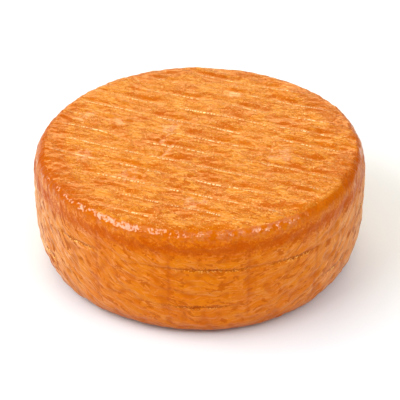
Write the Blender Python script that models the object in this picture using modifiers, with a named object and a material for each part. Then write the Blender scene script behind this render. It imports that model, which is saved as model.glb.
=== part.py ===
"""A whole washed-rind cheese: one low wheel with a rolled shoulder, a bellied side and a flat base.

Lengths are metres and +Z is up. The origin is the middle of the base, on the surface that the wheel rests on.
The wheel is turned from its profile. Its skin is then moved along its own normals by what making leaves:
the draining mat's grooves on top, the grooves and seams of the cloth round the side, and the wrinkles.
"""

import math

import bpy
import bmesh
from mathutils import Vector, noise

COLLECTION_NAME = "washed_rind_cheese"
WHEEL_NAME = "cheese_wheel"

# Turned form
WHEEL_RADIUS = 0.0900
WHEEL_HEIGHT = 0.0677
WIDEST_HEIGHT = 0.0408
TOP_FLAT_RADIUS = 0.0794
BASE_FLAT_RADIUS = 0.0687
SHOULDER_FULLNESS = 3.3
HEEL_FULLNESS = 3.1
PROFILE_SPACING = 0.0012
BASE_SPACING = 0.0096
CORNER_STEPS = 90
TURN_STEPS = 288
AXIS_WELD = 0.00001

# Slightly four-cornered rim, and a foot that bulges to the front left
RIM_CORNER_COUNT = 4
RIM_CORNER_SWELL = 0.00038
RIM_CORNER_ANGLE = math.radians(20)
FOOT_BULGE = 0.0005
FOOT_BULGE_ANGLE = math.radians(-132)
FOOT_BULGE_SPREAD = 0.022
FOOT_BULGE_REACH = 0.016

# Top face: sunk a little towards its middle, and gently uneven
TOP_SINK = 0.0007
TOP_SINK_START = 0.018
SWELL_SIZE = 0.032
SWELL_HEIGHT = 0.0006
LUMP_LENGTH = 0.016
LUMP_WIDTH = 0.0065
LUMP_HEIGHT = 0.0004

# Grooves of the draining mat, each with a low ridge pressed up beside it
MAT_ANGLE = math.radians(-21)
MAT_PITCH = 0.0132
MAT_FIRST = -0.0234
MAT_WANDER = 0.0008
MAT_WANDER_SIZE = 0.028
MAT_REACH = 0.0825
MAT_FADE = 0.0070
GROOVE_DEPTH = 0.0009
GROOVE_WIDTH = 0.0017
GROOVE_SHIFT = 0.0026
RIDGE_HEIGHT = 0.0004
RIDGE_WIDTH = 0.0009
GROOVE_BREAK_SIZE = 0.022
GROOVE_BREAK = (-0.45, 0.25)

# Creases that cross the mat's grooves, as (start, end) on the top face
CREASES = (
    ((-0.009, 0.024), (-0.026, -0.008)),
    ((-0.012, 0.006), (-0.022, -0.022)),
    ((-0.022, -0.024), (-0.036, -0.042)),
    ((0.040, 0.006), (0.034, -0.034)),
)
CREASE_DEPTH = 0.0006
CREASE_WIDTH = 0.0018
CREASE_WANDER = 0.0016
CREASE_WANDER_SIZE = 0.007
CREASE_FADE = 0.3

# Grooves that the cloth and the hoop leave round the side
UPPER_GROOVE_HEIGHT = 0.0446
UPPER_GROOVE_TILT = 0.0028
UPPER_GROOVE_LIFT_ANGLE = math.radians(-130)
LOWER_GROOVE_HEIGHT = 0.0243
UPPER_GROOVE_DEPTH = 0.0007
LOWER_GROOVE_DEPTH = 0.0004
SIDE_GROOVE_WIDTH = 0.0009
SIDE_GROOVE_WAVER = 0.0006
SIDE_GROOVE_WAVES = 3.0
SIDE_GROOVE_BREAKS = 4.0
SIDE_GROOVE_BREAK = (-0.4, 0.4)
SIDE_GROOVE_STEP = 0.01

# Upright seams of the cloth
SEAM_COUNT = 14
SEAM_FIRST_ANGLE = math.radians(-100)
SEAM_DEPTH = 0.0003
SEAM_WIDTH = 0.0013
SEAM_FOOT = (0.010, 0.020)
SEAM_TOP = (0.058, 0.064)

# Wrinkles that sweep down the side from both ends of the front, and the dimples between them
SWEEP_RISE = 0.081
SWEEP_ANGLE = math.radians(85)
WRINKLE_LENGTH = 0.015
WRINKLE_WIDTH = 0.0042
WRINKLE_HEIGHT = 0.0006
DIMPLE_SIZE = 0.0052
DIMPLE_DEPTH = 0.0004
DIMPLE_BREAK = (0.1, 0.5)

# The rolled shoulder is smoother than the faces that it joins
SHOULDER_RIPPLE_SIZE = 0.011
SHOULDER_RIPPLE = 0.0004

# How far up a place faces (its normal's height) where the top's marks and the side's marks fade
TOP_FACING = (0.80, 0.99)
SIDE_FACING = (0.25, 0.60)
BASE_FADE = 0.006

# Faceted solid
TRIANGLE_COUNT = 9400
BASE_SNAP = 0.00012

RIND_COLOUR = (0.80, 0.27, 0.035, 1.0)
RIND_ROUGHNESS = 0.34


def smooth_step(low, high, value):
    """0 up to low, 1 from high on, and a smooth rise between them."""
    share = min(max((value - low) / (high - low), 0.0), 1.0)
    return share * share * (3.0 - 2.0 * share)


def bell(distance, width):
    return math.exp(-((distance / width) ** 2))


def clear_scene():
    for item in list(bpy.data.objects):
        bpy.data.objects.remove(item, do_unlink=True)


def superellipse_corner(inner_radius, fullness, height):
    """Points from the widest ring to the flat face, as (radius, rise), with a rounded corner between them."""
    reach = WHEEL_RADIUS - inner_radius
    points = []
    for step in range(CORNER_STEPS + 1):
        angle = 0.5 * math.pi * step / CORNER_STEPS
        radius = inner_radius + reach * math.cos(angle) ** (2.0 / fullness)
        points.append((radius, height * math.sin(angle) ** (2.0 / fullness)))
    return points


def evenly_spaced(points, spacing):
    """The same open outline with its points at equal steps along it."""
    lengths = [0.0]
    for (x0, z0), (x1, z1) in zip(points, points[1:]):
        lengths.append(lengths[-1] + math.hypot(x1 - x0, z1 - z0))
    count = max(2, round(lengths[-1] / spacing))
    result = []
    segment = 0
    for step in range(count + 1):
        target = lengths[-1] * step / count
        while segment < len(points) - 2 and lengths[segment + 1] < target:
            segment += 1
        run = lengths[segment + 1] - lengths[segment]
        share = min((target - lengths[segment]) / run, 1.0) if run > 0.0 else 0.0
        x0, z0 = points[segment]
        x1, z1 = points[segment + 1]
        result.append((x0 + share * (x1 - x0), z0 + share * (z1 - z0)))
    return result


def wheel_profile():
    """The outline from the middle of the top, down the outer side, to the middle of the base."""
    shoulder_rise = WHEEL_HEIGHT - WIDEST_HEIGHT
    shoulder = superellipse_corner(TOP_FLAT_RADIUS, SHOULDER_FULLNESS, shoulder_rise)
    heel = superellipse_corner(BASE_FLAT_RADIUS, HEEL_FULLNESS, WIDEST_HEIGHT)
    outline = [(0.0, WHEEL_HEIGHT)]
    outline += [(radius, WIDEST_HEIGHT + rise) for radius, rise in reversed(shoulder)]
    outline += [(radius, WIDEST_HEIGHT - drop) for radius, drop in heel[1:]]
    top_and_side = evenly_spaced(outline, PROFILE_SPACING)
    base = evenly_spaced([(BASE_FLAT_RADIUS, 0.0), (0.0, 0.0)], BASE_SPACING)
    return top_and_side + base[1:]


def turned_wheel():
    """The smooth wheel, as a closed mesh object."""
    profile = wheel_profile()
    mesh = bpy.data.meshes.new("wheel_profile")
    points = [(radius, 0.0, height) for radius, height in profile]
    edges = [(index, index + 1) for index in range(len(points) - 1)]
    mesh.from_pydata(points, edges, [])
    outline = bpy.data.objects.new("wheel_profile", mesh)
    bpy.context.scene.collection.objects.link(outline)
    turn = outline.modifiers.new("turn", "SCREW")
    turn.axis = "Z"
    turn.angle = 2.0 * math.pi
    turn.steps = TURN_STEPS
    turn.render_steps = TURN_STEPS
    turn.use_merge_vertices = True
    turn.merge_threshold = AXIS_WELD
    return applied(outline, WHEEL_NAME)


def applied(source, name):
    """A new object that holds the source's shape with its modifiers applied. The source is removed."""
    bpy.context.view_layer.update()
    graph = bpy.context.evaluated_depsgraph_get()
    mesh = bpy.data.meshes.new_from_object(source.evaluated_get(graph))
    bpy.data.objects.remove(source, do_unlink=True)
    mesh.name = name
    result = bpy.data.objects.new(name, mesh)
    bpy.context.scene.collection.objects.link(result)
    return result


def rim_corners(angle):
    return RIM_CORNER_SWELL * math.cos(RIM_CORNER_COUNT * (angle - RIM_CORNER_ANGLE))


def foot_bulge(angle, height):
    turn = math.remainder(angle - FOOT_BULGE_ANGLE, 2.0 * math.pi)
    return FOOT_BULGE * bell(WHEEL_RADIUS * turn, FOOT_BULGE_SPREAD) * bell(height, FOOT_BULGE_REACH)


def mat_groove(x, y):
    """The nearest groove of the mat, with its ridge, broken up along its length."""
    along = x * math.cos(MAT_ANGLE) + y * math.sin(MAT_ANGLE)
    across = y * math.cos(MAT_ANGLE) - x * math.sin(MAT_ANGLE)
    across += MAT_WANDER * noise.noise(Vector((along / MAT_WANDER_SIZE, across / MAT_PITCH, 0.3)))
    line = round((across - MAT_FIRST) / MAT_PITCH)
    offset = across - MAT_FIRST - line * MAT_PITCH
    broken = noise.noise(Vector((along / GROOVE_BREAK_SIZE, 3.7 * line, 1.9)))
    strength = smooth_step(*GROOVE_BREAK, broken)
    groove = GROOVE_DEPTH * bell(offset - GROOVE_SHIFT, GROOVE_WIDTH)
    ridge = RIDGE_HEIGHT * bell(offset, RIDGE_WIDTH)
    return strength * (ridge - groove)


def crease(x, y, start, end):
    """How deep one crease is at a place: it wanders along its line from start to end, and fades at both."""
    begin = Vector(start)
    run = Vector(end) - begin
    step = Vector((x, y)) - begin
    share = min(max(step.dot(run) / run.length_squared, 0.0), 1.0)
    aside = step - share * run
    wander = CREASE_WANDER * noise.noise(Vector((x / CREASE_WANDER_SIZE, y / CREASE_WANDER_SIZE, 2.2)))
    distance = math.copysign(aside.length, aside.cross(run)) + wander
    fade = smooth_step(0.0, CREASE_FADE, share) * smooth_step(0.0, CREASE_FADE, 1.0 - share)
    return CREASE_DEPTH * fade * bell(distance, CREASE_WIDTH)


def top_relief(x, y):
    radius = math.hypot(x, y)
    along = x * math.cos(MAT_ANGLE) + y * math.sin(MAT_ANGLE)
    across = y * math.cos(MAT_ANGLE) - x * math.sin(MAT_ANGLE)
    relief = -TOP_SINK * (1.0 - smooth_step(TOP_SINK_START, MAT_REACH, radius))
    relief += SWELL_HEIGHT * noise.noise(Vector((x / SWELL_SIZE, y / SWELL_SIZE, 4.1)))
    relief += LUMP_HEIGHT * noise.noise(Vector((along / LUMP_LENGTH, across / LUMP_WIDTH, 7.7)))
    marks = mat_groove(x, y)
    for start, end in CREASES:
        marks -= crease(x, y, start, end)
    return relief + marks * (1.0 - smooth_step(MAT_REACH - MAT_FADE, MAT_REACH, radius))


def side_groove(angle, height, middle, depth):
    """A level groove round the side, deep in some stretches and almost lost in others."""
    around = Vector((math.cos(angle), math.sin(angle), 0.0))
    own = Vector((0.0, 0.0, middle / SIDE_GROOVE_STEP))
    waver = SIDE_GROOVE_WAVER * noise.noise(SIDE_GROOVE_WAVES * around + own)
    broken = noise.noise(SIDE_GROOVE_BREAKS * around + own + Vector((5.0, 2.0, 0.0)))
    return -depth * smooth_step(*SIDE_GROOVE_BREAK, broken) * bell(height - middle - waver, SIDE_GROOVE_WIDTH)


def seam(angle, height):
    """The nearest upright seam of the cloth."""
    pitch = 2.0 * math.pi / SEAM_COUNT
    turn = math.remainder(angle - SEAM_FIRST_ANGLE, pitch)
    reach = smooth_step(*SEAM_FOOT, height) * (1.0 - smooth_step(*SEAM_TOP, height))
    return -SEAM_DEPTH * reach * bell(WHEEL_RADIUS * turn, SEAM_WIDTH)


def wrinkles(x, y, angle, height):
    """Long ridges that slope down towards the front from both of its ends."""
    level = height + SWEEP_RISE * math.cos(angle + SWEEP_ANGLE)
    place = Vector((x / WRINKLE_LENGTH, y / WRINKLE_LENGTH, level / WRINKLE_WIDTH))
    return WRINKLE_HEIGHT * noise.noise(place)


def dimples(place):
    return -DIMPLE_DEPTH * smooth_step(*DIMPLE_BREAK, noise.noise(place / DIMPLE_SIZE))


def side_relief(place, angle):
    tilt = UPPER_GROOVE_TILT * math.cos(angle - UPPER_GROOVE_LIFT_ANGLE)
    relief = wrinkles(place.x, place.y, angle, place.z) + dimples(place)
    relief += side_groove(angle, place.z, UPPER_GROOVE_HEIGHT + tilt, UPPER_GROOVE_DEPTH)
    relief += side_groove(angle, place.z, LOWER_GROOVE_HEIGHT, LOWER_GROOVE_DEPTH)
    relief += seam(angle, place.z)
    return relief + foot_bulge(angle, place.z)


def rind_relief(place, normal):
    """How far the rind stands out from the turned form, along its normal."""
    angle = math.atan2(place.y, place.x)
    top_share = smooth_step(*TOP_FACING, normal.z)
    side_share = 1.0 - smooth_step(*SIDE_FACING, normal.z)
    shoulder_share = 1.0 - top_share - side_share
    ripple = SHOULDER_RIPPLE * noise.noise(place / SHOULDER_RIPPLE_SIZE + Vector((8.0, 1.0, 0.0)))
    relief = top_share * top_relief(place.x, place.y)
    relief += side_share * side_relief(place, angle)
    relief += shoulder_share * ripple
    return relief + rim_corners(angle) * (1.0 - top_share)


def raise_relief(wheel):
    """Moves each point of the skin along its normal. The flat base stays flat."""
    mesh = wheel.data
    places = [vertex.co.copy() for vertex in mesh.vertices]
    normals = [vertex.normal.copy() for vertex in mesh.vertices]
    for vertex, place, normal in zip(mesh.vertices, places, normals):
        above_base = smooth_step(0.0, BASE_FADE, place.z)
        if above_base > 0.0:
            vertex.co = place + normal * (above_base * rind_relief(place, normal))
    mesh.update()


def make_facets(wheel, triangle_count):
    """Thins the skin to about this many triangles, keeping the most where it bends."""
    facets = sum(len(face.vertices) - 2 for face in wheel.data.polygons)
    thin = wheel.modifiers.new("thin", "DECIMATE")
    thin.ratio = triangle_count / facets
    thin.use_collapse_triangulate = True
    return applied(wheel, WHEEL_NAME)


def settle(wheel):
    """Makes the base exactly flat and centres the wheel over the origin."""
    points = [vertex.co for vertex in wheel.data.vertices]
    middle_x = 0.5 * (min(p.x for p in points) + max(p.x for p in points))
    middle_y = 0.5 * (min(p.y for p in points) + max(p.y for p in points))
    for point in points:
        point.x -= middle_x
        point.y -= middle_y
        if point.z < BASE_SNAP:
            point.z = 0.0
    wheel.data.update()


def close_mesh(wheel):
    """Welds what the turning leaves double on the axis, and points every face outwards."""
    skin = bmesh.new()
    skin.from_mesh(wheel.data)
    bmesh.ops.remove_doubles(skin, verts=skin.verts, dist=AXIS_WELD)
    bmesh.ops.recalc_face_normals(skin, faces=skin.faces)
    skin.to_mesh(wheel.data)
    skin.free()
    wheel.data.update()


def rind_material():
    material = bpy.data.materials.new("washed_rind")
    material.use_nodes = True
    shader = material.node_tree.nodes["Principled BSDF"]
    shader.inputs["Base Color"].default_value = RIND_COLOUR
    shader.inputs["Roughness"].default_value = RIND_ROUGHNESS
    shader.inputs["Metallic"].default_value = 0.0
    material.diffuse_color = RIND_COLOUR
    return material


def main():
    clear_scene()
    collection = bpy.data.collections.new(COLLECTION_NAME)
    bpy.context.scene.collection.children.link(collection)
    wheel = turned_wheel()
    close_mesh(wheel)
    raise_relief(wheel)
    wheel = make_facets(wheel, TRIANGLE_COUNT)
    settle(wheel)
    wheel.data.materials.append(rind_material())
    wheel.data.shade_smooth()
    bpy.context.scene.collection.objects.unlink(wheel)
    collection.objects.link(wheel)


main()
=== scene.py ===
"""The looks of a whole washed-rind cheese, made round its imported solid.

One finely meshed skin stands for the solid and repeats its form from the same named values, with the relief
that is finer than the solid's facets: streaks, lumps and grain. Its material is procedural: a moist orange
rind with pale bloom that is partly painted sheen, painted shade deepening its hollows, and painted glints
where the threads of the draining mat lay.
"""

import math

import bpy
import numpy as np
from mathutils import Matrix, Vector, noise


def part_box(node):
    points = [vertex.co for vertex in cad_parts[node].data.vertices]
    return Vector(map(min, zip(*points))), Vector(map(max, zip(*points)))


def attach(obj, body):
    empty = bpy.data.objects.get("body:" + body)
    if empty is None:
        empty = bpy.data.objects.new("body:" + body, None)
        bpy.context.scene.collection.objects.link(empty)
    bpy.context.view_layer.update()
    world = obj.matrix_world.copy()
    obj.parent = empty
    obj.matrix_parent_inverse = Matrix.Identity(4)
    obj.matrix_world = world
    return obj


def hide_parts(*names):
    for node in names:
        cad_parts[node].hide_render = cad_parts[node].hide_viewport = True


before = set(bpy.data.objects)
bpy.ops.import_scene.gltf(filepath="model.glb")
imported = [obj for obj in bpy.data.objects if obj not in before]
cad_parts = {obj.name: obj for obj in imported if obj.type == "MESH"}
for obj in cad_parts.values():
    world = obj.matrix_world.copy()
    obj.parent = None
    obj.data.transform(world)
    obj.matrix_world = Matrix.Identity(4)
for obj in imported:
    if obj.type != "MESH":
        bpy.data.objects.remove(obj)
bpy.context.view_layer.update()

NODE_NAME = "cheese_wheel"
MM = 0.001
TINY = 1e-12

# Turned form, as in the solid
WHEEL_RADIUS = 0.0900
WHEEL_HEIGHT = 0.0677
WIDEST_HEIGHT = 0.0408
TOP_FLAT_RADIUS = 0.0794
BASE_FLAT_RADIUS = 0.0687
SHOULDER_FULLNESS = 3.3
HEEL_FULLNESS = 3.1
CORNER_STEPS = 400

# Mesh of the skin: cells across the top's grid, and rows down the side and in over the base
TOP_CELLS = 160
RING_CELLS = 4 * TOP_CELLS
SIDE_ROWS = 92
BASE_ROWS = 14

# Slightly four-cornered rim, and a foot that bulges to the front left
RIM_CORNER_COUNT = 4
RIM_CORNER_SWELL = 0.00038
RIM_CORNER_ANGLE = math.radians(20)
FOOT_BULGE = 0.0005
FOOT_BULGE_ANGLE = math.radians(-132)
FOOT_BULGE_SPREAD = 0.022
FOOT_BULGE_REACH = 0.016

# Top face
TOP_SINK = 0.0007
TOP_SINK_START = 0.018
SWELL_SIZE = 0.032
SWELL_HEIGHT = 0.0006
SWELL_LAYER = 4.1
LUMP_LENGTH = 0.016
LUMP_WIDTH = 0.0065
LUMP_HEIGHT = 0.0004
LUMP_LAYER = 7.7

# Grooves of the draining mat, each with a low ridge beside it
MAT_ANGLE = math.radians(-21)
MAT_PITCH = 0.0132
MAT_FIRST = -0.0234
MAT_WANDER = 0.0008
MAT_WANDER_SIZE = 0.028
MAT_WANDER_LAYER = 0.3
MAT_REACH = 0.0825
MAT_FADE = 0.0070
GROOVE_DEPTH = 0.0006
GROOVE_WIDTH = 0.0017
GROOVE_SHIFT = 0.0026
RIDGE_HEIGHT = 0.0004
RIDGE_WIDTH = 0.0009
GROOVE_BREAK_SIZE = 0.022
GROOVE_BREAK = (-0.45, 0.25)
GROOVE_BREAK_STEP = 3.7
GROOVE_BREAK_LAYER = 1.9

# Creases that cross the mat's grooves, as (start, end) on the top face
CREASES = (
    ((-0.009, 0.024), (-0.026, -0.008)),
    ((-0.012, 0.006), (-0.022, -0.022)),
    ((-0.022, -0.024), (-0.036, -0.042)),
    ((0.040, 0.006), (0.034, -0.034)),
)
CREASE_DEPTH = 0.0006
CREASE_WIDTH = 0.0018
CREASE_WANDER = 0.0016
CREASE_WANDER_SIZE = 0.007
CREASE_WANDER_LAYER = 2.2
CREASE_FADE = 0.3

# Grooves and seams of the cloth round the side
UPPER_GROOVE_HEIGHT = 0.0446
UPPER_GROOVE_TILT = 0.0028
UPPER_GROOVE_LIFT_ANGLE = math.radians(-130)
LOWER_GROOVE_HEIGHT = 0.0243
UPPER_GROOVE_DEPTH = 0.0007
LOWER_GROOVE_DEPTH = 0.0004
SIDE_GROOVE_WIDTH = 0.0009
SIDE_GROOVE_WAVER = 0.0006
SIDE_GROOVE_WAVES = 3.0
SIDE_GROOVE_BREAKS = 4.0
SIDE_GROOVE_BREAK = (-0.4, 0.4)
SIDE_GROOVE_BREAK_SHIFT = (5.0, 2.0)
SIDE_GROOVE_STEP = 0.01
SEAM_COUNT = 14
SEAM_FIRST_ANGLE = math.radians(-100)
SEAM_DEPTH = 0.0003
SEAM_WIDTH = 0.0013
SEAM_FOOT = (0.010, 0.020)
SEAM_TOP = (0.058, 0.064)

# Wrinkles and dimples of the side
SWEEP_RISE = 0.081
SWEEP_ANGLE = math.radians(85)
WRINKLE_LENGTH = 0.015
WRINKLE_WIDTH = 0.0042
WRINKLE_HEIGHT = 0.0006
DIMPLE_SIZE = 0.0052
DIMPLE_DEPTH = 0.0004
DIMPLE_BREAK = (0.1, 0.5)

# Rolled shoulder
SHOULDER_RIPPLE_SIZE = 0.011
SHOULDER_RIPPLE = 0.0004
SHOULDER_RIPPLE_SHIFT = (8.0, 1.0)
TOP_FACING = (0.80, 0.99)
SIDE_FACING = (0.25, 0.60)
BASE_FADE = 0.006

# Relief that only the skin has, as (length, width, height), and where in the noise each kind is cut
TOP_STREAK = (0.0100, 0.0030, 0.00048)
TOP_LUMP = (0.0074, 0.0050, 0.00066)
TOP_LUMP_ASIDE = 4.0
TOP_LUMP_LAYER = 8.2
TOP_GRAIN = (0.0038, 0.0024, 0.00034)
TOP_GRAIN_ASIDE = 9.0
TOP_GRAIN_LAYER = 3.3
SIDE_STREAK = (0.0095, 0.0036, 0.00060)
SIDE_STREAK_LAYER = 6.1
SIDE_GRAIN = (0.0026, 0.0022, 0.00020)
SIDE_GRAIN_LAYER = 2.4
SHOULDER_GRAIN = (0.0032, 0.0032, 0.00048)
SHOULDER_GRAIN_LAYER = 1.7

# The top's fine relief turns from streaks to lumps between these places on X, and is calm in some patches
STREAKY = (-0.055, 0.005)
CALM_SIZE = 0.020
CALM_BREAK = (-0.35, 0.30)
CALM_LEAST = 0.35
CALM_LAYER = 5.5

# It is calmer beside the mat's grooves as well
MAT_CALM = 0.8
MAT_CALM_WIDTH = 0.0022

# The side's streaks are weakest in front and behind, and strongest at both ends
FAN_LEAST = 0.40

# Painted sheen of the side's streaks: how fast it fades towards the front, and how much weaker it is on the
# right
SHEEN_HAZE_POWER = 3
SHEEN_HAZE_EASE = 0.35

# Stretches of the grooves round the side painted dark as shade, as (angle, half width) in degrees
UPPER_SHADE_STRETCHES = ((-135, 8), (-87, 13), (-58, 8), (-12, 7), (38, 10), (96, 8), (150, 9))
LOWER_SHADE_STRETCHES = ((-152, 6), (-90, 10), (-38, 7), (25, 8), (80, 9), (133, 7))
GROOVE_LEAST = 0.9

# Where the mat's threads left the clearest marks, as (x, y, reach) on the top face
CLEAR_MARKS = ((-0.050, 0.000, 0.034), (-0.010, -0.060, 0.036), (0.050, 0.010, 0.026), (0.000, 0.020, 0.030))
CLEAR_LEAST = 0.35

# Pale patches of bloom on the top, partly painted sheen, as (x, y, reach)
BLOOM_AND_SHEEN_PATCHES = (
    (-0.064, 0.027, 0.0080),
    (-0.044, 0.020, 0.0060),
    (-0.062, -0.014, 0.0070),
    (-0.036, -0.035, 0.0080),
    (-0.003, -0.060, 0.0080),
    (-0.016, 0.015, 0.0080),
    (0.044, -0.015, 0.0090),
    (0.020, 0.052, 0.0070),
)
PATCH_SHARE = 0.75
CREASE_BLOOM_AND_SHEEN = 0.65

# Stretches of the rim where the moist film lies thick, as (angle, half width) in degrees
WET_RIM = ((-124, 40), (-84, 12), (-64, 14), (8, 20), (75, 26), (140, 18))

# Stretches of deeper orange on the rim, partly painted shade where the rim would lose its sheen, as (angle,
# half width) in degrees, and how far out they start
DEEP_RIM = ((187, 32), (104, 10), (66, 7), (28, 22), (-18, 10))
DEEP_RIM_START = (0.0705, 0.0785)

# How far down a place of the base faces
BASE_FACING = (0.80, 0.97)

# Camera, aimed near the wheel's middle from this far away and this high above the horizon
PHOTO_SIZE = 400
FOCAL_PIXELS = 1292.9
SENSOR_WIDTH = 36.0
CAMERA_DISTANCE = 8.0 * WHEEL_RADIUS
CAMERA_ELEVATION = math.radians(33.753)
CAMERA_AIM = (0.0001, 0.0, 0.0289)

# Colours of the top
DEEP_ORANGE = (0.520, 0.118, 0.0002, 1.0)
MID_ORANGE = (0.595, 0.162, 0.0003, 1.0)
# Painted shade: the deeper orange of the strip beside each notch
STRIP_SHADE_ORANGE = (0.610, 0.158, 0.0001, 1.0)
# Partly painted sheen: the pale peach and the bloom
PALE_PEACH = (0.665, 0.234, 0.0260, 1.0)
BLOOM_AND_SHEEN = (0.800, 0.380, 0.2000, 1.0)
# Painted glints: the bright beads along the mat's lines
BEAD_GLINT_YELLOW = (1.00, 0.960, 0.6000, 1.0)
SPECK_BROWN = (0.470, 0.088, 0.0003, 1.0)
# Painted glints: the colour of the sparse pale specks
GLINT_SPECK_PALE = (1.000, 0.550, 0.2000, 1.0)

# Colours of the rim
RIM_ORANGE = (0.560, 0.124, 0.0003, 1.0)
RIM_AMBER = (0.610, 0.158, 0.0004, 1.0)
DEEP_RIM_ORANGE = (0.500, 0.098, 0.0002, 1.0)
# Painted shade under the rim
UNDER_RIM_SHADE = (0.470, 0.076, 0.0003, 1.0)

# Colours of the side
SIDE_ORANGE = (0.635, 0.158, 0.0006, 1.0)
SIDE_AMBER = (0.680, 0.200, 0.0015, 1.0)
# Painted sheen: the peach laid on the side's ends
SIDE_SHEEN_PEACH = (0.680, 0.390, 0.1900, 1.0)
# Painted highlights: the cream lines on the side
FAN_HIGHLIGHT_CREAM = (0.960, 0.640, 0.3800, 1.0)
# Painted shade in the side's pits; also the colour of the rim's specks
DIMPLE_ORANGE = (0.505, 0.104, 0.0003, 1.0)
PIT_SHADE_GOLD = (0.420, 0.088, 0.0002, 1.0)
# Painted shade in the grooves
GROOVE_SHADE_BROWN = (0.300, 0.046, 0.0003, 1.0)
# Painted glints under the grooves
GLINT_AMBER = (1.00, 0.700, 0.2200, 1.0)
SEAM_BROWN = (0.46, 0.085, 0.0100, 1.0)
# Painted shade towards the foot; also deepens the base's colour
FOOT_ORANGE = (0.37, 0.064, 0.0003, 1.0)

# A noise is (scale, detail, roughness, distortion), and a break is where a share starts and where it is full.
# A size is (length, width) along the mat's lines, or (length, height) along the side's sweep. Layers and
# steps keep marks of different kinds and lines from looking alike.
NOISE_MIDDLE = 0.5
EVEN_NOISE = (1.0, 0.0, 0.55, 0.0)

# Notch that each thread of the mat left: its depth, its near slope and its far slope
NOTCH_DEPTH = 0.00035
NOTCH_NEAR = 0.0009
NOTCH_FAR = 0.0026

# Clear strip beside each notch, painted deeper as shade, and the painted glints in it, which come in groups
STRIP_RAGGED = 0.0020
STRIP_START = (-0.0002, 0.0004)
STRIP_END = (0.0022, 0.00088)
BEAD_WIDTH = 0.00042
BEAD_SHIFT = 0.0002
BEAD_LENGTH = 0.0010
BEAD_BREAK = (0.47, 0.51)
BEAD_STEP = 7.3
BEAD_LAYER = 0.0
GROUP_LENGTH = 0.0080
GROUP_BREAK = (0.36, 0.46)
GROUP_STEP = 5.1
GROUP_LAYER = 3.0

# Mottling of the top: pale clouds, partly painted sheen; deeper strokes and scratches, partly painted shade;
# and specks, the pale ones painted glints
TOP_SPECK_NOISE = (900.0, 2.0, 0.7, 0.0)
CLOUD_SIZE = (0.0150, 0.0100)
CLOUD_NOISE = (1.0, 4.0, 0.6, 0.6)
CLOUD_RELIEF_SHADE = 0.10
CLOUD_SPECK = 0.60
CLOUD_LAYER = 0.0
PALE_BREAK = (0.45, 0.54)
STROKE_SIZE = (0.0060, 0.0030)
STROKE_NOISE = (1.0, 3.0, 0.6, 0.5)
STROKE_SPECK = 0.30
STROKE_LAYER = 2.0
STROKE_BREAK = (0.560, 0.598)
STROKE_SHARE = 0.85
SCRATCH_SIZE = (0.0140, 0.0013)
SCRATCH_NOISE = (1.0, 1.0, 0.5, 0.1)
SCRATCH_LAYER = 6.0
SCRATCH_BREAK = (0.590, 0.625)
SCRATCH_PATCH_NOISE = (28.0, 1.0, 0.5, 0.0)
SCRATCH_PATCH_BREAK = (0.62, 0.40)
WARM_NOISE = (40.0, 2.0, 0.5, 0.0)
WARM_BREAK = (0.40, 0.62)
BROWN_SPECK_BREAK = (0.59, 0.67)
BROWN_SPECK_SHARE = 0.5
GLINT_SPECK_BREAK = (0.40, 0.32)
GLINT_SPECK_SHARE = 0.6

# Ragged edges of the bloom, which is partly painted sheen
BLOOM_AND_SHEEN_NOISE = (190.0, 3.0, 0.7, 0.0)
BLOOM_AND_SHEEN_RAGGED = 2.4
BLOOM_AND_SHEEN_BREAK = (0.45, 0.90)
BLOOM_AND_SHEEN_EDGE = (0.02, 0.25)
BLOOM_AND_SHEEN_SHARE = 0.65

# Finest relief of the top, weaker where it is glossy
TOP_FINE_SIZE = (0.0018, 0.0015)
TOP_FINE_LAYER = 5.0
TOP_FINE_LEAST = 0.35
TOP_FINE_HEIGHT = 0.00046

# How far the side's fine marks stray from their sweep
LINE_WAVER = 0.009
LINE_WAVER_NOISE = (75.0, 1.0, 0.5, 0.0)

# Mottling of the side
SIDE_SPECK_NOISE = (760.0, 2.0, 0.7, 0.0)
SIDE_CLOUD_SIZE = (0.0120, 0.0075)
SIDE_CLOUD_NOISE = (1.0, 4.0, 0.6, 0.5)
SIDE_CLOUD_RELIEF_SHADE = 0.12
SIDE_CLOUD_SPECK = 0.60
SIDE_CLOUD_BREAK = (0.34, 0.64)
SHEEN_HAZE_SHARE = 0.50

# Pits of the side, painted darker as shade: small in front, large and golden where the sheen is painted
SMALL_PIT_SIZE = (0.0048, 0.0026)
SMALL_PIT_NOISE = (1.0, 2.0, 0.6, 0.3)
LARGE_PIT_SIZE = (0.0075, 0.0034)
LARGE_PIT_NOISE = (1.0, 2.0, 0.5, 0.3)
LARGE_PIT_HAZE = (0.15, 0.45)
GOLD_PIT_HAZE = (0.10, 0.45)
PIT_SPECK = 0.22
PIT_BREAK = (0.56, 0.62)
PIT_LEAST = 0.78
PIT_HAZE = 0.20
DIMPLE_SHARE = 0.6

# Pale lines along the side's sweep, painted highlights on its wrinkles
HIGHLIGHT_LINE_SIZE = (0.0120, 0.0036)
HIGHLIGHT_LINE_NOISE = (1.0, 2.0, 0.5, 0.2)
HIGHLIGHT_LINE_WIDTH = 0.014
HIGHLIGHT_LINE_SHARE = 0.7
HIGHLIGHT_STREAK_SIZE = (0.0080, 0.0013)
HIGHLIGHT_STREAK_NOISE = (1.0, 1.0, 0.6, 0.4)
HIGHLIGHT_STREAK_BREAK = (0.54, 0.66)
HIGHLIGHT_STREAK_SHARE = 0.75
LINE_PATCH_NOISE = (0.8, 2.0, 0.5, 0.0)
LINE_PATCH_BREAK = (0.36, 0.60)
LINE_LEAST = 0.08
LINE_HAZE = 0.35
LINE_PATCH = 0.70

# Painted shade: a deeper band under the rim, and darker towards the foot
UNDER_RIM_HEIGHT = 0.0585
UNDER_RIM_WIDTH = 0.0036
UNDER_RIM_RAGGED = 0.0150
UNDER_RIM_SHARE = 0.80
FOOT_HEIGHT = 0.0080
FOOT_RAGGED = 0.0060
FOOT_SHARE = 0.88

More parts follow.
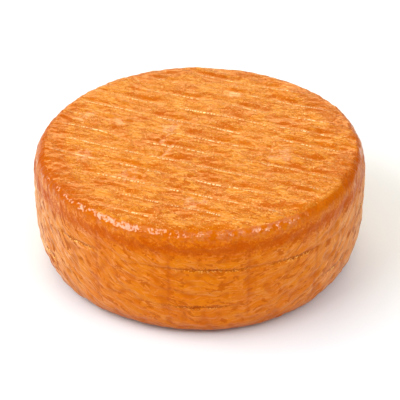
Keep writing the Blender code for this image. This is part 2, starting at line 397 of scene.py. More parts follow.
# Colour of the side's seams and grooves, the grooves painted dark as shade, with a sparse row of painted
# glints under each groove
SEAM_TINT_SHARE = 0.40
GROOVE_RAGGED = 0.0050
GROOVE_TINT_WIDTH = 0.00062
GLINT_NOISE = (900.0, 0.0, 0.55, 0.0)
GLINT_BREAK = (0.52, 0.58)
GLINT_LEAST = 0.30
GLINT_HAZE = 1.7
GLINT_DROP = 0.0009
GLINT_WIDTH = 0.00040

# Finest relief of the side
SIDE_FINE_SIZE = (0.0040, 0.0015)
SIDE_FINE_HEIGHT = 0.00026

# Faint lines of the base, and how much deeper it is than the top
BASE_LINE_NOISE = (110.0, 3.0, 0.6, 0.0)
BASE_LINE_BREAK = (0.40, 0.52)
BASE_LINE_SHARE = 0.7
BASE_DEPTH = 0.45

# Mottling of the rim, and its ragged edges
EDGE_NOISE = (260.0, 2.0, 0.6, 0.0)
EDGE_RAGGED = 1.2
EDGE_BREAK = (0.20, 0.80)
RIM_NOISE = (190.0, 4.0, 0.6, 0.0)
RIM_BREAK = (0.38, 0.62)
RIM_SPECK_NOISE = (620.0, 2.0, 0.6, 0.0)
RIM_SPECK_BREAK = (0.56, 0.64)
RIM_SPECK_SHARE = 0.5
DEEP_RIM_RAGGED = 0.8
DEEP_RIM_BREAK = (0.15, 0.45)
DEEP_RIM_SHARE = 0.6
RIM_FINE_NOISE = (640.0, 0.0, 0.55, 0.0)
RIM_FINE_HEIGHT = 0.00036

# Gloss: a broken moist film lies thick on stretches of the rim, and thin on the top
WET_NOISE = (330.0, 3.0, 0.65, 0.0)
WET_BREAK = (0.455, 0.490)
TOP_FILM = 0.03
SIDE_FILM = 0.00
GLOSS_ROUGHNESS = 0.12
MATT_ROUGHNESS = 0.24
RIM_ROUGHNESS = 0.36
SIDE_ROUGHNESS = 0.34
ROUGH_NOISE = (300.0, 1.0, 0.6, 0.0)
ROUGH_SHARE = 0.08

# What is the same all over the skin
SKIN_SETTINGS = {
    "Subsurface Weight": 0.12,
    "Subsurface Radius": (1.0, 0.35, 0.1),
    "Subsurface Scale": 0.0015,
    "IOR": 1.40,
    "Specular Tint": (1.0, 0.60, 0.10, 1.0),
    "Coat Roughness": 0.08,
    "Coat IOR": 1.85,
}

# Floor
FLOOR_HALF = 3.0
FLOOR_WHITE = (0.88, 0.92, 0.96, 1.0)
FLOOR_ROUGHNESS = 0.9

# The studio wall: sines of the heights where it starts and stops darkening, and its light below and above
WALL_SHADE = (0.00, 0.10, 0.32, 0.18)
WALL_WHITE = (1.0, 1.0, 1.0, 1.0)

# Lights as (name, place, size, watts, colour), all turned to the same point
LIGHT_AIM = (0.0, 0.0, 0.03)
WHITE = (1.0, 1.0, 1.0)
WARM_WHITE = (1.0, 0.84, 0.46)
LIGHTS = (
    ("key", (-0.80, -0.30, 0.82), (1.2, 0.70), 9.4, WHITE),
    ("back", (-0.05, 1.08, 0.55), (1.1, 0.56), 6.2, WARM_WHITE),
    ("overhead", (0.15, 0.15, 1.35), (2.4, 2.0), 7.6, WHITE),
    ("front", (0.85, -1.30, 1.15), (3.2, 2.0), 11.3, WHITE),
    ("front strip", (0.23, -0.82, 1.02), (0.80, 0.12), 1.2, WHITE),
    ("right", (0.95, -0.75, 0.95), (0.6, 0.40), 2.4, WHITE),
)


def smooth_step(low, high, value):
    share = np.clip((value - low) / (high - low), 0.0, 1.0)
    return share * share * (3.0 - 2.0 * share)


def bell(distance, width):
    return np.exp(-((distance / width) ** 2))


def noise_at(x, y, z):
    """Smooth noise at each point, about -1 to 1."""
    points = np.stack(np.broadcast_arrays(x, y, z), axis=-1).reshape(-1, 3)
    return np.array([noise.noise(point) for point in points.tolist()])


# Form of the skin

def superellipse_corner(inner_radius, fullness, height):
    angle = np.linspace(0.0, 0.5 * math.pi, CORNER_STEPS + 1)
    radius = inner_radius + (WHEEL_RADIUS - inner_radius) * np.abs(np.cos(angle)) ** (2.0 / fullness)
    return np.column_stack([radius, height * np.sin(angle) ** (2.0 / fullness)])


def evenly_spaced(points, count):
    """The same open outline as this many equal steps along it."""
    lengths = np.concatenate([[0.0], np.cumsum(np.hypot(*np.diff(points, axis=0).T))])
    wanted = np.linspace(0.0, lengths[-1], count + 1)
    return np.column_stack([np.interp(wanted, lengths, points[:, axis]) for axis in (0, 1)])


def side_outline():
    """(radius, height) from the edge of the flat top, over the shoulder and down to the flat base."""
    shoulder = superellipse_corner(TOP_FLAT_RADIUS, SHOULDER_FULLNESS, WHEEL_HEIGHT - WIDEST_HEIGHT)
    heel = superellipse_corner(BASE_FLAT_RADIUS, HEEL_FULLNESS, WIDEST_HEIGHT)
    upper = shoulder[::-1] + (0.0, WIDEST_HEIGHT)
    lower = heel[1:] * (1.0, -1.0) + (0.0, WIDEST_HEIGHT)
    return evenly_spaced(np.concatenate([upper, lower]), SIDE_ROWS)


def disc_point(u, v):
    """A square from -1 to 1 mapped on a disc of radius 1, with equal steps round its edge."""
    if abs(u) < TINY and abs(v) < TINY:
        return 0.0, 0.0
    if abs(u) >= abs(v):
        radius, angle = u, 0.25 * math.pi * v / u
    else:
        radius, angle = v, 0.5 * math.pi - 0.25 * math.pi * u / v
    return radius * math.cos(angle), radius * math.sin(angle)


def square_edge(cells):
    """The grid places round the square's edge, anticlockwise from its lower right corner."""
    right = [(cells, row) for row in range(cells)]
    top = [(column, cells) for column in range(cells, 0, -1)]
    left = [(0, row) for row in range(cells, 0, -1)]
    bottom = [(column, 0) for column in range(cells)]
    return right + top + left + bottom


def skin_grid():
    """Points and faces of the smooth wheel: a gridded top, rings down the side and rings over the base."""
    points = []
    faces = []
    size = TOP_CELLS + 1
    for row in range(size):
        for column in range(size):
            x, y = disc_point(2.0 * column / TOP_CELLS - 1.0, 2.0 * row / TOP_CELLS - 1.0)
            points.append((TOP_FLAT_RADIUS * x, TOP_FLAT_RADIUS * y, WHEEL_HEIGHT))
    for row in range(TOP_CELLS):
        for column in range(TOP_CELLS):
            corner = row * size + column
            faces.append((corner, corner + 1, corner + size + 1, corner + size))
    ring = [row * size + column for column, row in square_edge(TOP_CELLS)]
    rings = list(side_outline()[1:])
    rings += [(BASE_FLAT_RADIUS * (1.0 - step / BASE_ROWS), 0.0) for step in range(1, BASE_ROWS)]
    for radius, height in rings:
        first = len(points)
        for step in range(RING_CELLS):
            angle = 2.0 * math.pi * step / RING_CELLS - 0.25 * math.pi
            points.append((radius * math.cos(angle), radius * math.sin(angle), height))
        lower = list(range(first, first + RING_CELLS))
        for step in range(RING_CELLS):
            after = (step + 1) % RING_CELLS
            faces.append((ring[step], lower[step], lower[after], ring[after]))
        ring = lower
    middle = len(points)
    points.append((0.0, 0.0, 0.0))
    for step in range(RING_CELLS):
        faces.append((ring[step], middle, ring[(step + 1) % RING_CELLS]))
    return points, faces


# Relief of the skin

def mat_frame(x, y):
    along = x * math.cos(MAT_ANGLE) + y * math.sin(MAT_ANGLE)
    across = y * math.cos(MAT_ANGLE) - x * math.sin(MAT_ANGLE)
    return along, across


def mat_lines(x, y):
    """(phase, strength): the phase counts grooves across the mat, and the strength breaks each one up."""
    along, across = mat_frame(x, y)
    wander = MAT_WANDER * noise_at(along / MAT_WANDER_SIZE, across / MAT_PITCH, MAT_WANDER_LAYER)
    phase = (across + wander - MAT_FIRST) / MAT_PITCH
    broken = noise_at(along / GROOVE_BREAK_SIZE, GROOVE_BREAK_STEP * np.round(phase), GROOVE_BREAK_LAYER)
    radius = np.hypot(x, y)
    reach = 1.0 - smooth_step(MAT_REACH - MAT_FADE, MAT_REACH, radius)
    return phase, reach * smooth_step(*GROOVE_BREAK, broken)


def mat_relief(phase, strength):
    offset = (phase - np.round(phase)) * MAT_PITCH
    groove = GROOVE_DEPTH * bell(offset - GROOVE_SHIFT, GROOVE_WIDTH)
    return strength * (RIDGE_HEIGHT * bell(offset, RIDGE_WIDTH) - groove)


def crease_share(x, y):
    """How much of a crease runs through each place, 0 to 1."""
    found = np.zeros_like(x)
    wander = noise_at(x / CREASE_WANDER_SIZE, y / CREASE_WANDER_SIZE, CREASE_WANDER_LAYER)
    for start, end in CREASES:
        begin, run = np.array(start), np.subtract(end, start)
        step_x, step_y = x - begin[0], y - begin[1]
        share = np.clip((step_x * run[0] + step_y * run[1]) / (run @ run), 0.0, 1.0)
        aside_x, aside_y = step_x - share * run[0], step_y - share * run[1]
        sign = np.sign(aside_x * run[1] - aside_y * run[0])
        distance = sign * np.hypot(aside_x, aside_y) + CREASE_WANDER * wander
        fade = smooth_step(0.0, CREASE_FADE, share) * smooth_step(0.0, CREASE_FADE, 1.0 - share)
        found = np.maximum(found, fade * bell(distance, CREASE_WIDTH))
    return found


def side_groove(angle, middle, tilt):
    """(height, strength) of a groove round the side, at each angle."""
    own = (middle + tilt) / SIDE_GROOVE_STEP
    around_x, around_y = np.cos(angle), np.sin(angle)
    waver = SIDE_GROOVE_WAVER * noise_at(SIDE_GROOVE_WAVES * around_x, SIDE_GROOVE_WAVES * around_y, own)
    shift_x, shift_y = SIDE_GROOVE_BREAK_SHIFT
    broken = noise_at(SIDE_GROOVE_BREAKS * around_x + shift_x, SIDE_GROOVE_BREAKS * around_y + shift_y, own)
    return middle + tilt + waver, smooth_step(*SIDE_GROOVE_BREAK, broken)


def seam_share(angle, height):
    pitch = 2.0 * math.pi / SEAM_COUNT
    turn = np.mod(angle - SEAM_FIRST_ANGLE + 0.5 * pitch, pitch) - 0.5 * pitch
    reach = smooth_step(*SEAM_FOOT, height) * (1.0 - smooth_step(*SEAM_TOP, height))
    return reach * bell(WHEEL_RADIUS * turn, SEAM_WIDTH)


def foot_bulge(angle, height):
    turn = np.mod(angle - FOOT_BULGE_ANGLE + math.pi, 2.0 * math.pi) - math.pi
    return FOOT_BULGE * bell(WHEEL_RADIUS * turn, FOOT_BULGE_SPREAD) * bell(height, FOOT_BULGE_REACH)


def clear_share(x, y):
    """How clearly the mat's threads show at each place of the top."""
    found = np.zeros_like(x)
    for middle_x, middle_y, reach in CLEAR_MARKS:
        found = np.maximum(found, bell(np.hypot(x - middle_x, y - middle_y), reach))
    return CLEAR_LEAST + (1.0 - CLEAR_LEAST) * found


def bloom_and_sheen_share(x, y, creases):
    """Where pale bloom, partly painted sheen, may gather: along the creases and in patches."""
    found = CREASE_BLOOM_AND_SHEEN * creases
    for middle_x, middle_y, reach in BLOOM_AND_SHEEN_PATCHES:
        found = np.maximum(found, PATCH_SHARE * bell(np.hypot(x - middle_x, y - middle_y), reach))
    return found


def stretch_share(angle, stretches):
    """1 at the middle of each stretch of a ring round the wheel, falling to 0 past its ends."""
    found = np.zeros_like(angle)
    for middle, half_width in stretches:
        turn = np.mod(angle - math.radians(middle) + math.pi, 2.0 * math.pi) - math.pi
        found = np.maximum(found, bell(turn, math.radians(half_width)))
    return found


def streaks(length, width, height, along, aside, across, layer):
    """Relief whose lumps are this long along and aside, this wide across and at most about this high."""
    return height * noise_at(along / length, aside / length, across / width + layer)


def top_texture(x, y, along, across):
    """Fine relief of the top: streaks along the mat at its left, lumps elsewhere, calm patches in both."""
    lumpy = smooth_step(*STREAKY, x)
    patches = smooth_step(*CALM_BREAK, noise_at(x / CALM_SIZE, y / CALM_SIZE, CALM_LAYER))
    rough = CALM_LEAST + (1.0 - CALM_LEAST) * patches
    streaky = streaks(*TOP_STREAK, along, 0.0, across, 0.0)
    lumps = streaks(*TOP_LUMP, along, TOP_LUMP_ASIDE, across, TOP_LUMP_LAYER)
    grain = streaks(*TOP_GRAIN, along, TOP_GRAIN_ASIDE, across, TOP_GRAIN_LAYER)
    return rough * ((1.0 - lumpy) * streaky + lumpy * lumps) + grain


def top_relief(x, y, phase, strength, creases):
    """(marks, form) of the top face: what stands out on it, and how the face as a whole sinks and swells."""
    along, across = mat_frame(x, y)
    marks = mat_relief(phase, strength) - CREASE_DEPTH * creases
    marks += LUMP_HEIGHT * noise_at(along / LUMP_LENGTH, across / LUMP_WIDTH, LUMP_LAYER)
    calm = MAT_CALM * strength * bell((phase - np.round(phase)) * MAT_PITCH, MAT_CALM_WIDTH)
    marks += (1.0 - calm) * top_texture(x, y, along, across)
    sink = TOP_SINK * (1.0 - smooth_step(TOP_SINK_START, MAT_REACH, np.hypot(x, y)))
    swell = SWELL_HEIGHT * noise_at(x / SWELL_SIZE, y / SWELL_SIZE, SWELL_LAYER)
    return marks, swell - sink


def side_relief(x, y, z, level, fan, grooves, seams, dimples):
    """What stands out on the side: grooves, seams, dimples, wrinkles, streaks and grain."""
    marks = streaks(WRINKLE_LENGTH, WRINKLE_WIDTH, WRINKLE_HEIGHT, x, y, level, 0.0)
    marks -= SEAM_DEPTH * seams + DIMPLE_DEPTH * dimples
    for depth, (height, strength) in zip((UPPER_GROOVE_DEPTH, LOWER_GROOVE_DEPTH), grooves):
        marks -= depth * strength * bell(z - height, SIDE_GROOVE_WIDTH)
    marks += fan * streaks(*SIDE_STREAK, x, y, level, SIDE_STREAK_LAYER)
    return marks + streaks(*SIDE_GRAIN, x, y, z, SIDE_GRAIN_LAYER)


def shoulder_relief(x, y, z):
    """Ripples and grain of the rolled shoulder."""
    size = SHOULDER_RIPPLE_SIZE
    shift_x, shift_y = SHOULDER_RIPPLE_SHIFT
    ripple = SHOULDER_RIPPLE * noise_at(x / size + shift_x, y / size + shift_y, z / size)
    return ripple + streaks(*SHOULDER_GRAIN, x, y, z, SHOULDER_GRAIN_LAYER)


def rind(places, normals):
    """The relief at each point of the smooth wheel, and the fields that the material reads."""
    x, y, z = places.T
    angle = np.arctan2(y, x)
    top_share = smooth_step(*TOP_FACING, normals[:, 2])
    side_share = 1.0 - smooth_step(*SIDE_FACING, normals[:, 2])
    shoulder_share = 1.0 - top_share - side_share

    phase, strength = mat_lines(x, y)
    creases = crease_share(x, y)
    top_marks, top_form = top_relief(x, y, phase, strength, creases)

    level = z + SWEEP_RISE * np.cos(angle + SWEEP_ANGLE)
    fan = FAN_LEAST + (1.0 - FAN_LEAST) * np.cos(angle) ** 2
    tilt = UPPER_GROOVE_TILT * np.cos(angle - UPPER_GROOVE_LIFT_ANGLE)
    upper_height, upper_strength = side_groove(angle, UPPER_GROOVE_HEIGHT, tilt)
    lower_height, lower_strength = side_groove(angle, LOWER_GROOVE_HEIGHT, 0.0)
    grooves = ((upper_height, upper_strength), (lower_height, lower_strength))
    seams = seam_share(angle, z)
    dimples = smooth_step(*DIMPLE_BREAK, noise_at(x / DIMPLE_SIZE, y / DIMPLE_SIZE, z / DIMPLE_SIZE))
    side_marks = side_relief(x, y, z, level, fan, grooves, seams, dimples)

    relief = top_share * (top_marks + top_form)
    relief += side_share * (side_marks + foot_bulge(angle, z))
    relief += shoulder_share * shoulder_relief(x, y, z)
    relief += (1.0 - top_share) * RIM_CORNER_SWELL * np.cos(RIM_CORNER_COUNT * (angle - RIM_CORNER_ANGLE))
    fields = {
        "mat_phase": phase,
        "mat_clear": strength * clear_share(x, y),
        # Pale bloom and painted sheen
        "bloom": bloom_and_sheen_share(x, y, creases),
        "top_share": top_share,
        "side_share": side_share,
        "upper_height": upper_height,
        # Painted shade in the grooves, by stretches
        "upper_shade": np.maximum(upper_strength, GROOVE_LEAST) * stretch_share(angle, UPPER_SHADE_STRETCHES),
        "lower_height": lower_height,
        "lower_shade": np.maximum(lower_strength, GROOVE_LEAST) * stretch_share(angle, LOWER_SHADE_STRETCHES),
        "seam": seams,
        "dimple": side_share * dimples,
        "fan": fan,
        # Painted sheen: strongest at the side's ends, weaker on the right
        "sheen_haze": fan ** SHEEN_HAZE_POWER * (1.0 - SHEEN_HAZE_EASE * np.maximum(np.cos(angle), 0.0)),
        "deep_rim": smooth_step(*DEEP_RIM_START, np.hypot(x, y)) * stretch_share(angle, DEEP_RIM),
        "wet": stretch_share(angle, WET_RIM),
        "base_share": smooth_step(*BASE_FACING, -normals[:, 2]),
        "sweep_level": level,
        # Relief height in millimetres, which the material turns into painted shade in the hollows
        "relief_shade": (top_share * top_marks + side_share * side_marks) / MM,
    }
    return smooth_step(0.0, BASE_FADE, z) * relief, fields


def make_skin():
    points, faces = skin_grid()
    mesh = bpy.data.meshes.new("washed_rind")
    mesh.from_pydata(points, [], faces)
    mesh.update()
    count = len(mesh.vertices)
    places = np.empty(count * 3)
    normals = np.empty(count * 3)
    mesh.vertices.foreach_get("co", places)
    mesh.vertices.foreach_get("normal", normals)
    places, normals = places.reshape(-1, 3), normals.reshape(-1, 3)
    relief, fields = rind(places, normals)
    places = places + normals * relief[:, None]
    low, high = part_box(NODE_NAME)
    middle = 0.5 * (places.min(axis=0) + places.max(axis=0))
    places[:, 0] += 0.5 * (low.x + high.x) - middle[0]
    places[:, 1] += 0.5 * (low.y + high.y) - middle[1]
    mesh.vertices.foreach_set("co", places.ravel())
    for name, values in fields.items():
        attribute = mesh.attributes.new(name, "FLOAT", "POINT")
        attribute.data.foreach_set("value", values.astype(np.float32))
    mesh.shade_smooth()
    mesh.update()
    skin = bpy.data.objects.new("washed_rind_skin", mesh)
    bpy.context.scene.collection.objects.link(skin)
    return skin


# Material

class Graph:
    """Short names for the shader nodes that a material is made of."""

    # Sockets of a Mix node for values and for colours
    VALUE_INPUTS = slice(2, 4)
    VALUE_OUTPUT = 0
    COLOUR_INPUTS = slice(6, 8)
    COLOUR_OUTPUT = 2

    def __init__(self, name):
        self.material = bpy.data.materials.new(name)
        self.material.use_nodes = True
        self.tree = self.material.node_tree
        self.shader = self.tree.nodes["Principled BSDF"]

    def feed(self, socket, source):
        if isinstance(source, bpy.types.NodeSocket):
            self.tree.links.new(source, socket)
        else:
            socket.default_value = source

    def field(self, name):
        node = self.tree.nodes.new("ShaderNodeAttribute")
        node.attribute_name = name
        return node.outputs["Fac"]

    def math(self, operation, *sources):
        node = self.tree.nodes.new("ShaderNodeMath")
        node.operation = operation
        for socket, source in zip(node.inputs, sources):
            self.feed(socket, source)
        return node.outputs[0]

    def total(self, first, *others):
        for other in others:
            first = self.math("ADD", first, other)
        return first

    def product(self, first, *others):
        for other in others:
            first = self.math("MULTIPLY", first, other)
        return first

    def step(self, low, high, value):
        """0 at low, 1 at high, smooth between them."""
        node = self.tree.nodes.new("ShaderNodeMapRange")
        node.interpolation_type = "SMOOTHSTEP"
        self.feed(node.inputs["Value"], value)
        self.feed(node.inputs["From Min"], low)
        self.feed(node.inputs["From Max"], high)
        return node.outputs[0]

    def bell(self, distance, width):
        share = self.math("DIVIDE", distance, width)
        return self.math("EXPONENT", self.product(share, share, -1.0))

    def vector(self, x, y, z):
        node = self.tree.nodes.new("ShaderNodeCombineXYZ")
        for socket, source in zip(node.inputs, (x, y, z)):
            self.feed(socket, source)
        return node.outputs[0]

    def parts(self, vector):
        node = self.tree.nodes.new("ShaderNodeSeparateXYZ")
        self.feed(node.inputs[0], vector)
        return node.outputs

    def noise(self, vector, scale, detail, roughness, distortion):
        node = self.tree.nodes.new("ShaderNodeTexNoise")
        self.feed(node.inputs["Vector"], vector)
        self.feed(node.inputs["Scale"], scale)
        self.feed(node.inputs["Detail"], detail)
        self.feed(node.inputs["Roughness"], roughness)
        self.feed(node.inputs["Distortion"], distortion)
        return node.outputs["Fac"]

    def centred(self, vector, noise):
        """A noise whose values lie round 0."""
        return self.math("SUBTRACT", self.noise(vector, *noise), NOISE_MIDDLE)

    def mix(self, share, first, second):
        """A colour between two colours."""
        node = self.tree.nodes.new("ShaderNodeMix")
        node.data_type = "RGBA"
        self.feed(node.inputs["Factor"], share)
        for socket, source in zip(node.inputs[self.COLOUR_INPUTS], (first, second)):
            self.feed(socket, source)
        return node.outputs[self.COLOUR_OUTPUT]

    def mix_value(self, share, first, second):
        """A value between two values."""
        node = self.tree.nodes.new("ShaderNodeMix")
        self.feed(node.inputs["Factor"], share)
        for socket, source in zip(node.inputs[self.VALUE_INPUTS], (first, second)):
            self.feed(socket, source)
        return node.outputs[self.VALUE_OUTPUT]

    def bump(self, height):
        """A normal bent by a height in metres."""
        node = self.tree.nodes.new("ShaderNodeBump")
        self.feed(node.inputs["Strength"], 1.0)
        self.feed(node.inputs["Distance"], 1.0)
        self.feed(node.inputs["Height"], height)
        return node.outputs[0]


def mat_place(graph, along, across, size, layer):
    """Coordinates for marks of this length and width along the mat's lines."""
    length, width = size
    return graph.vector(graph.math("DIVIDE", along, length), graph.math("DIVIDE", across, width), layer)


def sweep_place(graph, x, y, level, size):
    """Coordinates for marks of this length and height along the side's sweep."""
    length, height = size
    around = [graph.math("DIVIDE", part, length) for part in (x, y)]
    return graph.vector(*around, graph.math("DIVIDE", level, height))


def mat_offset(graph):
    """The number of the nearest line of the mat, and the distance from it."""
    phase = graph.field("mat_phase")
    line = graph.math("ROUND", phase)
    return line, graph.product(graph.math("SUBTRACT", phase, line), MAT_PITCH)


def line_breaks(graph, along, line, length, step, layer, limits):
    """Pieces of about this length along each line of the mat, different on each."""
    place = graph.vector(graph.math("DIVIDE", along, length), graph.product(line, step), layer)
    return graph.step(*limits, graph.noise(place, *EVEN_NOISE))


def thread_marks(graph, along, top, speck):
    """What each thread of the mat left: a notch, a clear strip painted deeper as shade and a broken row of
    painted glints.
    """
    line, offset = mat_offset(graph)
    clear = graph.product(graph.field("mat_clear"), top)
    near = graph.math("ADD", 1.0, graph.math("DIVIDE", offset, NOTCH_NEAR))
    far = graph.math("SUBTRACT", 1.0, graph.math("DIVIDE", offset, NOTCH_FAR))
    notch = graph.product(graph.math("MAXIMUM", graph.math("MINIMUM", near, far), 0.0), clear)
    edge = graph.total(offset, graph.product(speck, STRIP_RAGGED))
    strip = graph.product(graph.step(*STRIP_START, edge), graph.step(*STRIP_END, edge), clear)
    glint_dots = line_breaks(graph, along, line, BEAD_LENGTH, BEAD_STEP, BEAD_LAYER, BEAD_BREAK)
    groups = line_breaks(graph, along, line, GROUP_LENGTH, GROUP_STEP, GROUP_LAYER, GROUP_BREAK)
    row = graph.bell(graph.total(offset, BEAD_SHIFT), BEAD_WIDTH)
    return notch, strip, graph.product(row, glint_dots, groups, clear)


def stroke_share(graph, place, along, across, speck):
    """Where the top has a deeper stroke or scratch, partly painted shade where the sheen would be missing."""
    stroke = graph.noise(mat_place(graph, along, across, STROKE_SIZE, STROKE_LAYER), *STROKE_NOISE)
    stroke = graph.step(*STROKE_BREAK, graph.total(stroke, graph.product(speck, STROKE_SPECK)))
    scratch = graph.noise(mat_place(graph, along, across, SCRATCH_SIZE, SCRATCH_LAYER), *SCRATCH_NOISE)
    patches = graph.step(*SCRATCH_PATCH_BREAK, graph.noise(place, *SCRATCH_PATCH_NOISE))
    return graph.math("MAXIMUM", stroke, graph.product(graph.step(*SCRATCH_BREAK, scratch), patches))


def bloom_and_sheen_cover(graph, place, speck):
    """How much of each place of the top the pale bloom and its painted sheen cover."""
    share = graph.field("bloom")
    ragged = graph.product(graph.centred(place, BLOOM_AND_SHEEN_NOISE), BLOOM_AND_SHEEN_RAGGED)
    cracked = graph.step(*BLOOM_AND_SHEEN_BREAK, graph.total(share, ragged, speck))
    return graph.product(cracked, graph.step(*BLOOM_AND_SHEEN_EDGE, share), BLOOM_AND_SHEEN_SHARE)


def top_colour(graph, place, along, across, top):
    """Colour of the top face, how matt it is, and the height of its fine marks."""
    grain = graph.noise(place, *TOP_SPECK_NOISE)
    speck = graph.math("SUBTRACT", grain, NOISE_MIDDLE)
    notch, strip, bead_glints = thread_marks(graph, along, top, speck)
    stroke = stroke_share(graph, place, along, across, speck)
    cloud = graph.noise(mat_place(graph, along, across, CLOUD_SIZE, CLOUD_LAYER), *CLOUD_NOISE)
    # Painted shade: paler on the relief's crests and deeper in its hollows
    relief_shade = graph.product(graph.field("relief_shade"), CLOUD_RELIEF_SHADE)
    cloud = graph.total(cloud, relief_shade, graph.product(speck, CLOUD_SPECK))
    # Partly painted sheen: the pale clouds
    pale = graph.step(*PALE_BREAK, cloud)

    warm = graph.step(*WARM_BREAK, graph.noise(place, *WARM_NOISE))
    colour = graph.mix(pale, graph.mix(warm, DEEP_ORANGE, MID_ORANGE), PALE_PEACH)
    # Partly painted shade: strokes in deeper orange
    colour = graph.mix(graph.product(stroke, STROKE_SHARE), colour, DEEP_ORANGE)
    # Partly painted sheen: pale bloom patches laid into the colour
    colour = graph.mix(bloom_and_sheen_cover(graph, place, speck), colour, BLOOM_AND_SHEEN)
    brown = graph.product(graph.step(*BROWN_SPECK_BREAK, grain), BROWN_SPECK_SHARE)
    colour = graph.mix(brown, colour, SPECK_BROWN)
    # Painted glints: sparse pale specks
    light = graph.product(graph.step(*GLINT_SPECK_BREAK, grain), GLINT_SPECK_SHARE)
    colour = graph.mix(light, colour, GLINT_SPECK_PALE)
    # Painted shade: the strip beside each notch
    colour = graph.mix(strip, colour, STRIP_SHADE_ORANGE)
    # Painted glints along each line of the mat
    colour = graph.mix(bead_glints, colour, BEAD_GLINT_YELLOW)

    matt = graph.product(pale, graph.math("SUBTRACT", 1.0, graph.math("MAXIMUM", stroke, strip)))
    rough = graph.total(TOP_FINE_LEAST, graph.product(matt, 1.0 - TOP_FINE_LEAST))
    fine = graph.noise(mat_place(graph, along, across, TOP_FINE_SIZE, TOP_FINE_LAYER), *EVEN_NOISE)
    height = graph.product(fine, rough, TOP_FINE_HEIGHT)
    return colour, matt, graph.math("SUBTRACT", height, graph.product(notch, NOTCH_DEPTH))


def rim_colour(graph, place):
    rim = graph.step(*RIM_BREAK, graph.noise(place, *RIM_NOISE))
    speck = graph.step(*RIM_SPECK_BREAK, graph.noise(place, *RIM_SPECK_NOISE))
    colour = graph.mix(rim, RIM_ORANGE, RIM_AMBER)
    return graph.mix(graph.product(speck, RIM_SPECK_SHARE), colour, DIMPLE_ORANGE)


def line_share(graph, x, y, level, sheen_haze, sweep):
    """How much of each place of the side its painted highlight lines cover."""
    # Painted highlights: long lines and short streaks along the sweep
    thread = graph.centred(sweep_place(graph, x, y, level, HIGHLIGHT_LINE_SIZE), HIGHLIGHT_LINE_NOISE)
    thread = graph.product(graph.bell(thread, HIGHLIGHT_LINE_WIDTH), HIGHLIGHT_LINE_SHARE)
    fibre = graph.noise(sweep_place(graph, x, y, level, HIGHLIGHT_STREAK_SIZE), *HIGHLIGHT_STREAK_NOISE)
    fibre = graph.product(graph.step(*HIGHLIGHT_STREAK_BREAK, fibre), HIGHLIGHT_STREAK_SHARE)
    patches = graph.step(*LINE_PATCH_BREAK, graph.noise(sweep, *LINE_PATCH_NOISE))
    hazy = graph.product(sheen_haze, graph.total(LINE_HAZE, graph.product(patches, LINE_PATCH)))
    return graph.product(graph.math("MAXIMUM", thread, fibre), graph.total(LINE_LEAST, hazy))


def pit_share(graph, x, y, level, sheen_haze, speck):
    """How deep in a pit each place of the side lies, for painting the pits darker as shade."""
    small = graph.noise(sweep_place(graph, x, y, level, SMALL_PIT_SIZE), *SMALL_PIT_NOISE)
    large = graph.noise(sweep_place(graph, x, y, level, LARGE_PIT_SIZE), *LARGE_PIT_NOISE)
    pit = graph.mix_value(graph.step(*LARGE_PIT_HAZE, sheen_haze), small, large)
    pit = graph.step(*PIT_BREAK, graph.total(pit, graph.product(speck, PIT_SPECK)))
    pit = graph.math("MAXIMUM", pit, graph.product(graph.field("dimple"), DIMPLE_SHARE))
    return graph.product(pit, graph.total(PIT_LEAST, graph.product(sheen_haze, PIT_HAZE)))


def groove_colour(graph, place, z, sheen_haze, speck, colour, name):
    """One groove round the side: painted brown shade along its shaded stretches, with painted glints just
    below it.
    """
    drop = graph.math("SUBTRACT", z, graph.field(name + "_height"))
    drop = graph.total(drop, graph.product(speck, GROOVE_RAGGED))
    groove_shade = graph.field(name + "_shade")
    # Painted shade in the groove
    colour = graph.mix(graph.product(graph.bell(drop, GROOVE_TINT_WIDTH), groove_shade), colour, GROOVE_SHADE_BROWN)
    glint_dots = graph.step(*GLINT_BREAK, graph.noise(place, *GLINT_NOISE))
    glint_dots = graph.product(glint_dots, graph.total(GLINT_LEAST, graph.product(sheen_haze, GLINT_HAZE)))
    row = graph.bell(graph.total(drop, GLINT_DROP), GLINT_WIDTH)
    # Painted glints below the groove
    return graph.mix(graph.product(row, glint_dots, groove_shade), colour, GLINT_AMBER)


